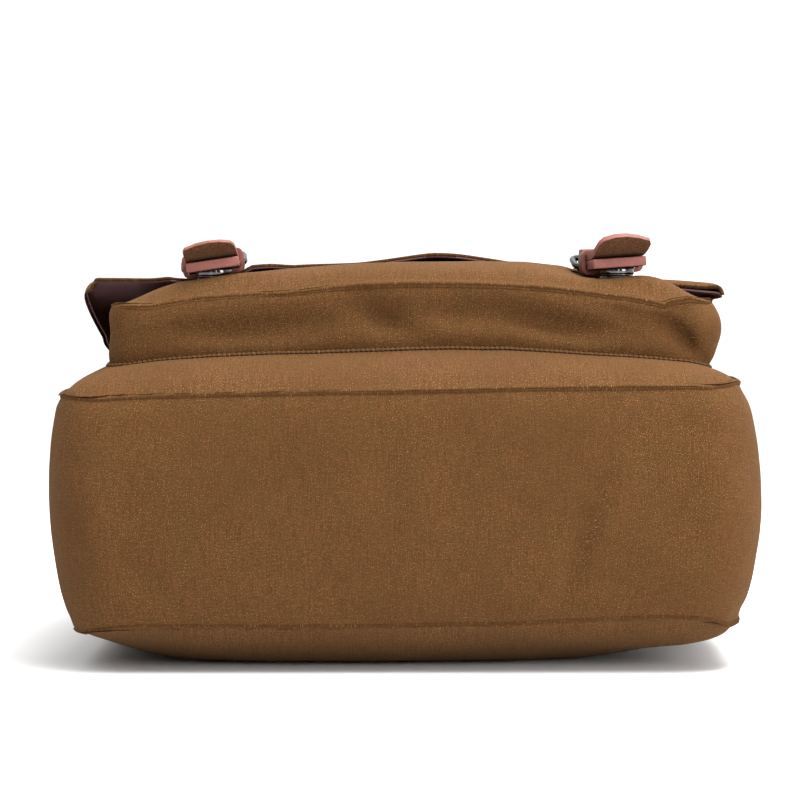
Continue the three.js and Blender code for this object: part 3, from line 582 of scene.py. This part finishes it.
def join_quads(bm):
    """Puts back the quads that were cut into triangles: the cut faces the two squarest corners."""
    def squareness(edge):
        total = 0.0
        for face in edge.link_faces:
            corner = next(v for v in face.verts if v not in edge.verts)
            arms = [other.co - corner.co for other in edge.verts]
            total += arms[0].angle(arms[1])
        return total

    inner = [e for e in bm.edges if len(e.link_faces) == 2 and all(len(f.verts) == 3 for f in e.link_faces)]
    taken = set()
    cuts = []
    for edge in sorted(inner, key=squareness, reverse=True):
        if not taken & set(edge.link_faces):
            taken |= set(edge.link_faces)
            cuts.append(edge)
    bmesh.ops.dissolve_edges(bm, edges=cuts, use_verts=False)


def solid(node):
    bm = bmesh.new()
    bm.from_mesh(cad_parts[node].data)
    bmesh.ops.remove_doubles(bm, verts=bm.verts, dist=0.02 * MM)
    bm.normal_update()
    return bm


def outer_skin(node):
    """The outer face of a CAD slab as a sheet of quads."""
    bm = solid(node)

    def facing_out(group):
        return sum(f.calc_area() * f.normal.dot(f.calc_center_median() - BAG_MIDDLE) for f in group)

    keep = max(regions(bm), key=facing_out)
    bmesh.ops.delete(bm, geom=[f for f in bm.faces if f not in keep], context="FACES")
    join_quads(bm)
    return bm


def as_object(name, bm, material):
    mesh = bpy.data.meshes.new(name)
    bm.to_mesh(mesh)
    bm.free()
    made = bpy.data.objects.new(name, mesh)
    bpy.context.scene.collection.objects.link(made)
    mesh.materials.append(material)
    return made


def apply_modifier(made, kind, **settings):
    modifier = made.modifiers.new(kind.lower(), kind)
    for key, value in settings.items():
        setattr(modifier, key, value)
    bpy.context.view_layer.objects.active = made
    with bpy.context.temp_override(object=made, active_object=made):
        bpy.ops.object.modifier_apply(modifier=modifier.name)


def read_vectors(made, key):
    values = np.zeros(len(made.data.vertices) * 3)
    made.data.vertices.foreach_get(key, values)
    return values.reshape(-1, 3)


def places_of(made):
    return read_vectors(made, "co")


def set_places(made, places):
    made.data.vertices.foreach_set("co", places.ravel())
    made.data.update()


def store(made, name, values):
    attribute = made.data.attributes.new(name, "FLOAT", "POINT")
    attribute.data.foreach_set("value", np.asarray(values, np.float32))


def round_out(made, levels):
    """Subdivides a sheet so that the smooth surface still passes through the places it was given."""
    wanted = places_of(made)
    control = wanted.copy()
    for _ in range(2):
        trial = made.copy()
        trial.data = made.data.copy()
        bpy.context.scene.collection.objects.link(trial)
        apply_modifier(trial, "SUBSURF", levels=levels, boundary_smooth="PRESERVE_CORNERS")
        control += (wanted - places_of(trial)[: len(wanted)]) * 0.9
        bpy.data.objects.remove(trial)
        set_places(made, control)
    apply_modifier(made, "SUBSURF", levels=levels, boundary_smooth="PRESERVE_CORNERS")


def refine_rim(made, cuts=4):
    """Cuts the ring of faces along a sheet's rim into narrow strips, so that a seam can be sharp."""
    bm = bmesh.new()
    bm.from_mesh(made.data)
    crossing = [e for e in bm.edges if sum(v.is_boundary for v in e.verts) == 1]
    bmesh.ops.subdivide_edges(bm, edges=crossing, cuts=cuts, use_grid_fill=True)
    bm.to_mesh(made.data)
    bm.free()


def rim_vertices(made):
    counts = np.zeros(len(made.data.edges), int)
    edges = np.zeros(len(made.data.loops), int)
    made.data.loops.foreach_get("edge_index", edges)
    np.add.at(counts, edges, 1)
    return sorted({v for edge, count in zip(made.data.edges, counts) if count == 1 for v in edge.vertices})


def tree_of(points):
    tree = kdtree.KDTree(len(points))
    for index, point in enumerate(points):
        tree.insert(point, index)
    tree.balance()
    return tree


def rim_distance(made):
    """How far each vertex of an open sheet is from its rim."""
    places = places_of(made)
    tree = tree_of(places[rim_vertices(made)])
    return np.array([tree.find(p)[2] for p in places])


def rumple(places, size, seed):
    """Smooth bumps between -1 and 1 at each place, about as far apart as size."""
    shift = Vector((seed * 7.1, seed * 3.3, seed * 5.7))
    return np.array([noise.noise(Vector(p) / size + shift) for p in places])


def fading(distance, reach):
    """1 at no distance, falling off smoothly over a reach."""
    return np.exp(-((distance / reach) ** 2))


def crease_depth(places, creases):
    """How deep a table of creases presses in at each place, seen in the plane of x and z."""
    flat = places[:, [0, 2]] / MM
    total = np.zeros(len(places))
    for crease in creases:
        start = np.array(crease["start"], float)
        run = np.array(crease["end"], float) - start
        share = np.clip((flat - start) @ run / (run @ run), 0, 1)
        off = np.linalg.norm(flat - start - share[:, None] * run, axis=1)
        along = CREASE_END + (1 - CREASE_END) * np.sin(np.pi * np.clip(share, 0.08, 0.92))
        total += crease["depth"] * along * fading(off, crease["width"])
    return total * MM


def pull_shape(made, group):
    """Moves a sheet as the table of pulls says."""
    places = places_of(made)
    total = np.zeros(places.shape)
    for pull in PULLS:
        if group not in pull["group"]:
            continue
        line = np.array([place for place, _ in pull["line"]], float) * MM
        shifts = np.array([shift for _, shift in pull["line"]], float) * MM
        nearest = np.full(len(places), np.inf)
        chosen = np.zeros(places.shape)
        for row in range(len(line) - 1):
            run = line[row + 1] - line[row]
            share = np.clip((places - line[row]) @ run / (run @ run), 0, 1)[:, None]
            off = np.linalg.norm(places - line[row] - share * run, axis=1)
            closer = off < nearest
            nearest[closer] = off[closer]
            chosen[closer] = (shifts[row] + share * (shifts[row + 1] - shifts[row]))[closer]
        total += fading(nearest, pull["reach"] * MM)[:, None] * chosen
    set_places(made, places + total)


def curl_hem(made, drop):
    """Turns the right end of the flap's hem down."""
    places = places_of(made)
    across = places[:, 0]
    near = np.clip(1 - (places[:, 1] - HEM_Y) / CURL_REACH, 0, 1)
    right = np.clip((across - CURL_START) / CURL_RUN, 0, 1)
    right *= np.clip((CURL_CORNER - across) / CURL_CORNER_RUN, 0.2, 1)
    fall = drop * near**2 * right
    places[:, 2] -= fall
    places[:, 1] += CURL_BACK * fall
    set_places(made, places)


def weave_flat(places):
    """Across and along as they lie in plan."""
    return places[:, :2]


def weave_round(places):
    """Across runs round the bag's outline in plan, and along runs up."""
    low = places[:, 1].min()
    lean = np.clip(places[:, 0] / (100 * MM), -1, 1)
    return np.stack([places[:, 0] + lean * (places[:, 1] - low), places[:, 2]], 1)


def weave_flap(places):
    """Across runs from side to side and down both margins, and along from the hem over the mouth."""
    front = np.clip((FALL_BACK - places[:, 1]) / FALL_FADE, 0, 1)
    fall = np.clip(FALL_TOP - places[:, 2], 0, FALL_DEPTH) * front
    return np.stack([places[:, 0] + np.sign(places[:, 0]) * fall, places[:, 1] - places[:, 2]], 1)


def lay_weave(made, weave):
    """Gives a sheet its weave map, in metres along its two thread directions."""
    layer = made.data.uv_layers.new(name="weave")
    corners = np.zeros(len(made.data.loops), int)
    made.data.loops.foreach_get("vertex_index", corners)
    layer.data.foreach_set("uv", weave(places_of(made))[corners].astype(np.float32).ravel())


def cut_cloth(name, node, material, seed, loose=0.5, pucker=0.35, roll=1.0, bead=0.0, creases=()):
    """A cloth sheet over a CAD slab: its outer skin rounded, rumpled and turned in at its rim."""
    made = as_object(name, outer_skin(node), material)
    round_out(made, CLOTH_LEVELS)
    refine_rim(made)
    places = places_of(made)
    normals = read_vectors(made, "normal")
    rim = rim_distance(made)
    inside = 1 - np.exp(-rim / RIM_CALM)
    beside = np.exp(-rim / PUCKER_REACH) * (1 - np.exp(-rim / PUCKER_START))
    lift = rumple(places, BROAD_RUMPLE, seed) * loose * MM * inside
    lift += rumple(places, SMALL_RUMPLE, seed + 1) * SMALL_SHARE * loose * MM * inside
    lift += rumple(places, PUCKER_SIZE, seed + 2) * pucker * MM * beside
    lift -= roll * ROLL_DEPTH * fading(rim, ROLL_REACH)
    lift += bead * BEAD_HEIGHT * fading(rim - BEAD_PLACE, BEAD_WIDTH)
    lift -= roll * FURROW_DEPTH * fading(rim, FURROW_REACH)
    if creases:
        facing = np.clip(-normals[:, 1] * CREASE_FACING, 0, 1)
        lift -= crease_depth(places, creases) * facing * inside
    set_places(made, places + normals * lift[:, None])
    return made


def sew_to(made, others, reach=8 * MM, most=6 * MM, blur=0.05 * MM):
    """Draws a sheet's rim onto the rims of its neighbours, and the cloth beside it along."""
    places = places_of(made)
    rim = rim_vertices(made)
    line_tree = tree_of(np.concatenate([places_of(other)[rim_vertices(other)] for other in others]))
    pull = np.zeros((len(rim), 3))
    for row, vertex in enumerate(rim):
        target, _, gap = line_tree.find(places[vertex])
        if gap < most:
            pull[row] = np.array(target) - places[vertex]
    rim_tree = tree_of(places[rim])
    for index, place in enumerate(places.copy()):
        near = rim_tree.find_n(place, 4)
        weights = np.array([1 / (gap + blur) ** 2 for _, _, gap in near])
        rows = [row for _, row, _ in near]
        places[index] += fading(near[0][2], reach) * (weights @ pull[rows]) / weights.sum()
    set_places(made, places)


def surface_tree(made):
    bm = bmesh.new()
    bm.from_mesh(made.data)
    tree = BVHTree.FromBMesh(bm)
    bm.free()
    return tree


def seat_on(made, under, reach=7 * MM, most=6 * MM, clearance=0.1 * MM):
    """Brings the lower rim of a sheet down onto the cloth under it, and the cloth beside it along."""
    tree = surface_tree(under)
    places = places_of(made)
    rim = []
    drop = []
    for vertex in rim_vertices(made):
        place = Vector(places[vertex])
        hit, normal, _, gap = tree.find_nearest(place)
        if gap < most:
            rim.append(vertex)
            drop.append(hit + normal * clearance - place)
    rim_tree = tree_of(places[rim])
    for index, place in enumerate(places.copy()):
        _, row, gap = rim_tree.find(place)
        places[index] += fading(gap, reach) * np.array(drop[row])
    set_places(made, places)


def thicken(made, node, thickness, weave, inner=None, thin_from=None):
    """Turns a finished sheet into cloth of a thickness and puts it in the place of its CAD solid.

    A second material clothes its inner face. The rim is pared thin where y is beyond thin_from."""
    if inner:
        made.data.materials.append(inner)
    rim = rim_distance(made)
    full = np.ones(len(rim))
    if thin_from is not None:
        full[(rim < PARED_REACH) & (places_of(made)[:, 1] > thin_from)] = PARED_SHARE
    body = made.vertex_groups.new(name="body")
    for index, weight in enumerate(full):
        body.add([index], weight, "REPLACE")
    # The rim values carry the painted shade of the seams into the canvas colour.
    store(made, "rim", fading(rim, RIM_SHADE_REACH))
    lay_weave(made, weave)
    faces = int(inner is not None)
    apply_modifier(
        made, "SOLIDIFY", thickness=thickness, offset=-1.0, vertex_group=body.name, material_offset=faces)
    made.data.shade_smooth()
    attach(made, "root")
    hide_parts(node)


def foot_line(made, under):
    """The places along the part of a sheet's rim that lies on the cloth under it, in their order."""
    tree = surface_tree(under)
    places = places_of(made)
    rim = set(rim_vertices(made))
    foot = {v for v in rim if tree.find_nearest(Vector(places[v]))[3] < FOOT_TOUCH}
    beside = {v: [] for v in foot}
    for edge in made.data.edges:
        first, second = edge.vertices
        if first in foot and second in foot:
            beside[first].append(second)
            beside[second].append(first)
    step = min((v for v in foot if len(beside[v]) == 1), key=lambda v: places[v][0])
    line = []
    while step is not None:
        line.append(step)
        step = next((v for v in beside[step] if v not in line), None)
    return places[line]


def spaced(line, pitch):
    """Places at an even pitch along a line."""
    runs = np.concatenate([[0], np.cumsum(np.linalg.norm(np.diff(line, axis=0), axis=1))])
    marks = np.arange(0, runs[-1], pitch)
    return np.stack([np.interp(marks, runs, line[:, axis]) for axis in range(3)], 1)


def edge_frame(line, under):
    """For each place of a line on some cloth: the way along it, out from the pocket and up."""
    tree = surface_tree(under)
    along = np.gradient(line, axis=0)
    along /= np.linalg.norm(along, axis=1)[:, None]
    up = np.array([tree.find_nearest(Vector(place))[1] for place in line])
    out = np.cross(along, up)
    out /= np.linalg.norm(out, axis=1)[:, None]
    if np.mean(np.sum(out * (line - line.mean(axis=0)), axis=1)) < 0:
        out = -out
    return along, out, up


def skin_rings(bm, rings):
    """Covers rings of vertices with faces, and closes both ends."""
    sides = len(rings[0])
    for ring, following in zip(rings, rings[1:]):
        for corner in range(sides):
            after = (corner + 1) % sides
            bm.faces.new((ring[corner], ring[after], following[after], following[corner]))
    bm.faces.new(rings[0][::-1])
    bm.faces.new(rings[-1])


def lay_lip(line, under):
    """The turned edge of the pocket's gusset, sewn down on the front panel along a line."""
    places = spaced(line, LIP_STEP)
    _, out, up = edge_frame(places, under)
    turns = np.linspace(0, math.tau, LIP_SIDES, endpoint=False)
    swells = 1 + LIP_RIPPLE * np.sin(np.arange(len(places)) * LIP_STEP / STITCH_PITCH * math.tau)
    bm = bmesh.new()
    rings = []
    for place, outward, upward, swell in zip(places, out, up, swells):
        middle = place + outward * LIP_WIDTH * 0.7 + upward * LIP_HEIGHT * 0.5
        ring = []
        for turn in turns:
            aside = outward * math.cos(turn) * LIP_WIDTH * swell
            above = upward * math.sin(turn) * LIP_HEIGHT * swell
            ring.append(bm.verts.new(middle + aside + above))
        rings.append(ring)
    skin_rings(bm, rings)
    bmesh.ops.recalc_face_normals(bm, faces=bm.faces)
    made = as_object("pocket_seam_lip", bm, CANVAS)
    # The lip gets none of the painted seam shade.
    store(made, "rim", np.zeros(len(made.data.vertices)))
    lay_weave(made, weave_flat)
    made.data.shade_smooth()
    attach(made, "root")


def sew_stitches(line, under):
    """The row of stitches beside the lip, each a slim slanted bead of dark thread, which also stands for the
    painted shade between the stitches.
    """
    places = spaced(line, STITCH_PITCH)
    along, out, up = edge_frame(places, under)
    size = Matrix.Diagonal((STITCH_RADIUS, STITCH_RADIUS, STITCH_LENGTH / 2, 1))
    bm = bmesh.new()
    for place, way, outward, upward in zip(places, along, out, up):
        middle = Vector(place + outward * LIP_WIDTH * 1.7 + upward * LIP_HEIGHT * 0.6)
        aim = Vector(way + outward * STITCH_SLANT).normalized()
        turn = aim.to_track_quat("Z", "Y").to_matrix().to_4x4()
        shape = Matrix.Translation(middle) @ turn @ size
        bmesh.ops.create_icosphere(bm, subdivisions=1, radius=1, matrix=shape)
    made = as_object("pocket_foot_stitches", bm, THREAD_AND_SHADE)
    made.data.shade_smooth()
    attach(made, "root")


def paint_faces(bm, part):
    """Marks the painted cut edges of a leather piece, and the nap on the underside of a strap."""
    edge = bm.faces.layers.float.new("edge")
    underside = bm.faces.layers.float.new("underside")
    if part == "strap":
        groups = sorted(regions(bm), key=lambda group: sum(f.calc_area() for f in group), reverse=True)
        under, over = sorted(groups[:2], key=lambda group: sum(f.calc_area() * f.normal.z for f in group))
        for face in bm.faces:
            face[underside] = float(face in under)
            face[edge] = float(face not in under and face not in over)
        return
    for face in bm.faces:
        squareness = {
            "keeper": abs(face.normal.y),
            "snap_tab": max(abs(face.normal.x), -face.normal.y),
            "ring_tab": max(abs(face.normal.z), -face.normal.y),
        }[part]
        face[edge] = float(squareness > 0.7)


def hang(made, side):
    """Lets a piece of a closure hang as the flap's hem does, most of all in front of the hem."""
    places = places_of(made)
    behind = np.clip(places[:, 1] - HEM_Y, 0, None)
    places[:, 2] -= CLOSURE_DROP[side] * fading(behind, CLOSURE_FADE)
    set_places(made, places)


def lean_tip(made, slope, about):
    """Leans the tip of a strap in front of the hem. Its lower edge stays."""
    places = places_of(made)
    tip = places[:, 1] < HEM_Y
    low = places[tip, 2].min()
    high = places[tip, 2].max()
    share = np.clip((places[:, 2] - low) / (high - low), 0, 1) * tip
    places[:, 2] += slope * (about - places[:, 0]) * share
    set_places(made, places)


def round_edges(made, width, segments, sharper_than):
    """Rounds every edge that is sharper than an angle."""
    angle = math.radians(sharper_than)
    apply_modifier(made, "BEVEL", width=width, segments=segments, limit_method="ANGLE", angle_limit=angle)
    made.data.shade_smooth()


def cut_leather(part, side):
    """A leather piece over its CAD solid, with rounded, painted edges and its nap side beneath."""
    node = f"{part}_{side}"
    bm = solid(node)
    paint_faces(bm, part)
    bmesh.ops.dissolve_limit(
        bm, angle_limit=FLAT_FACE, verts=bm.verts, edges=bm.edges, delimit={"NORMAL"})
    made = as_object(f"{part}_leather_{side}", bm, LEATHER)
    if part != "ring_tab":
        hang(made, side)
    if node in LEANING_TIPS:
        lean_tip(made, **LEANING_TIPS[node])
    round_edges(made, LEATHER_EDGE, 3, 40)
    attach(made, "root")
    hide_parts(node)


def cast_metal(part, side, plating):
    """A metal piece over its CAD solid, with softened edges."""
    node = f"{part}_{side}"
    bm = solid(node)
    bmesh.ops.dissolve_limit(bm, angle_limit=FLAT_FACE, verts=bm.verts, edges=bm.edges)
    made = as_object(f"{part}_metal_{side}", bm, plating)
    if part != "strap_ring":
        hang(made, side)
    round_edges(made, METAL_EDGE, 2, 50)
    made.data.set_sharp_from_angle(angle=math.radians(40))
    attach(made, "root")
    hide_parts(node)


def turn_snap(side):
    """A press stud: two turned rings that meet in a narrow waist, in the place of its two solids."""
    boxes = [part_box(f"{part}_{side}") for part in ("snap_base", "snap_top")]
    low = np.min([box[0] for box in boxes], axis=0)
    high = np.max([box[1] for box in boxes], axis=0)
    middle = (low + high) / 2
    radius = (high[0] - low[0]) / 2
    foot = low[2] - SNAP_FOOT
    height = high[2] - foot
    bm = bmesh.new()
    rings = []
    for share, width in SNAP_PROFILE:
        ring = []
        for turn in np.linspace(0, math.tau, SNAP_SIDES, endpoint=False):
            across = middle[0] + radius * width * math.cos(turn)
            along = middle[1] + radius * width * math.sin(turn)
            ring.append(bm.verts.new((across, along, foot + height * share)))
        rings.append(ring)
    skin_rings(bm, rings)
    made = as_object(f"snap_metal_{side}", bm, NICKEL)
    hang(made, side)
    made.data.shade_smooth()
    made.data.set_sharp_from_angle(angle=math.radians(50))
    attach(made, "root")
    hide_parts(f"snap_base_{side}", f"snap_top_{side}")


def lay_floor():
    """A white floor under the bag."""
    bpy.ops.mesh.primitive_plane_add(size=FLOOR_SIZE)
    floor = bpy.context.object
    floor.name = "floor"
    white = Surface("floor_white")
    floor.data.materials.append(white.finish(Base_Color=rgb(0.72, 0.72, 0.72), Roughness=0.9))


def softbox(name, place, aim, size, watts):
    """A soft rectangular light that faces a place."""
    light = bpy.data.lights.new(name, "AREA")
    light.shape = "RECTANGLE"
    light.size, light.size_y = size
    light.energy = watts
    made = bpy.data.objects.new(name, light)
    made.location = place
    made.visible_camera = False
    made.rotation_mode = "QUATERNION"
    made.rotation_quaternion = (Vector(aim) - Vector(place)).to_track_quat("-Z", "Y")
    bpy.context.scene.collection.objects.link(made)


def studio():
    """A white studio, brightest overhead and behind the bag, and dim in front of it and to its left."""
    world = bpy.data.worlds.new("studio")
    world.use_nodes = True
    sky = Shading(world.node_tree)
    way = sky.node("TexCoord", {}, {}, out=0)
    toward_front = 0 - sky.part(way, 1)
    rightward = sky.part(way, 0)
    upward = sky.part(way, 2)
    strength = sky.between(toward_front, -0.1, 0.6, 1.0, 0.12) * sky.between(rightward, -0.9, 0.9, 0.3, 1.3)
    strength = strength + sky.between(upward, 0.25, 0.9, 0.0, 1.4)
    strength = strength + sky.between(toward_front, -0.85, -0.3, 0.4, 0.0)
    background = world.node_tree.nodes["Background"]
    sky.feed(background.inputs["Color"], rgb(1, 1, 1))
    sky.feed(background.inputs["Strength"], strength)
    bpy.context.scene.world = world


def set_camera():
    """The photograph's camera: level with the bag's front, in front of its bottom, looking a little down."""
    lens = bpy.data.cameras.new("photo_camera")
    lens.lens = CAMERA_LENS
    lens.sensor_width = CAMERA_SENSOR
    camera = bpy.data.objects.new("photo_camera", lens)
    camera.location = (CAMERA_SHIFT, BOTTOM_Y - CAMERA_DISTANCE, CAMERA_HEIGHT)
    camera.rotation_euler = (math.pi / 2 - CAMERA_TILT, 0, 0)
    bpy.context.scene.collection.objects.link(camera)
    bpy.context.scene.camera = camera


# The finishes.
CANVAS = canvas()
LINING = lining()
LEATHER = leather()
GUNMETAL = metal("gunmetal", (0.035, 0.035, 0.037), (0.085, 0.085, 0.088), 0.22)
NICKEL = metal("nickel", (0.085, 0.078, 0.078), (0.15, 0.14, 0.14), 0.06)
THREAD_AND_SHADE = thread_and_painted_shade()

# The sheets of cloth, cut to the solids and sewn to each other.
front_cloth = cut_cloth("front_cloth", "front_panel", CANVAS, 3, bead=1.0)
back_cloth = cut_cloth("back_cloth", "back_panel", CANVAS, 9, loose=0.3, bead=1.0)
gusset_cloth = cut_cloth("gusset_cloth", "gusset", CANVAS, 15, loose=0.7, creases=BOTTOM_CREASES)
pocket_cloth = cut_cloth("pocket_cloth", "pocket_front", CANVAS, 21, loose=0.4, bead=1.6)
pocket_gusset_cloth = cut_cloth(
    "pocket_gusset_cloth", "pocket_gusset", CANVAS, 27, loose=0.6, roll=0.5, creases=POCKET_CREASES)
flap_cloth = cut_cloth("flap_cloth", "flap", CANVAS, 33, loose=0.0, pucker=0.0, roll=0.0)
lining_cloth = cut_cloth("flap_lining_cloth", "flap_lining", LINING, 39, loose=0.0, pucker=0.0, roll=0.0)

sew_to(gusset_cloth, [front_cloth, back_cloth])
sew_to(pocket_gusset_cloth, [pocket_cloth])
seat_on(pocket_gusset_cloth, front_cloth)

# Their shape in the photograph.
SHEETS = {
    "front": front_cloth,
    "back": back_cloth,
    "gusset": gusset_cloth,
    "pocket": pocket_cloth,
    "pocket_gusset": pocket_gusset_cloth,
    "flap": flap_cloth,
    "lining": lining_cloth,
}
for group, sheet in SHEETS.items():
    pull_shape(sheet, group)
curl_hem(flap_cloth, FLAP_CURL)
curl_hem(lining_cloth, LINING_CURL)

# The seam along the pocket's foot, laid while the sheets are still single.
pocket_foot = foot_line(pocket_gusset_cloth, front_cloth)
lay_lip(pocket_foot, front_cloth)
sew_stitches(pocket_foot, front_cloth)

# The sheets as cloth with a thickness.
thicken(front_cloth, "front_panel", CANVAS_THICKNESS, weave_flat)
thicken(back_cloth, "back_panel", CANVAS_THICKNESS, weave_flat)
thicken(gusset_cloth, "gusset", CANVAS_THICKNESS, weave_round)
thicken(pocket_cloth, "pocket_front", CANVAS_THICKNESS, weave_flat)
thicken(pocket_gusset_cloth, "pocket_gusset", CANVAS_THICKNESS, weave_round)
thicken(flap_cloth, "flap", HEM_THICKNESS, weave_flap, inner=LINING, thin_from=PARED_FROM)
thicken(lining_cloth, "flap_lining", LINING_THICKNESS, weave_flap)

# The closures, and the rings for a shoulder strap.
for side in SIDES:
    for part in ("strap", "snap_tab", "keeper", "ring_tab"):
        cut_leather(part, side)
for side in SIDES:
    for part in ("buckle", "strap_ring"):
        cast_metal(part, side, GUNMETAL)
    turn_snap(side)

# The stage.
lay_floor()
for light in LIGHTS:
    softbox(**light)
studio()
bpy.context.scene.view_settings.view_transform = "Standard"
set_camera()
